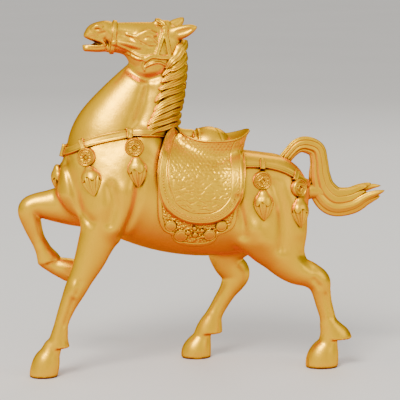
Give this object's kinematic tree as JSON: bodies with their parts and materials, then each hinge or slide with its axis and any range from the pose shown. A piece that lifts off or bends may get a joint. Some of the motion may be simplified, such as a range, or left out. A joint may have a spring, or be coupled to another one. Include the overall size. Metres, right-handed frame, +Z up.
{
  "type": "metal horse figurine",
  "caption": "Prancing horse figurine in gilt brass, cast in one piece with saddle, blanket, harness straps, coin and tassel pendants, wavy mane and raised tail.",
  "frame": {"origin": "on the ground plane under the middle of the figure's bounding box", "axes": "+Z up, the horse's head towards -X, its left side towards -Y"},
  "size_m": [0.1474, 0.0448, 0.1398],
  "materials": {
    "gilt_brass": "satin gilt, warm yellow gold, cast"
  },
  "bodies": {
    "root": {"horse": "gilt_brass"}
  },
  "joints": []
}
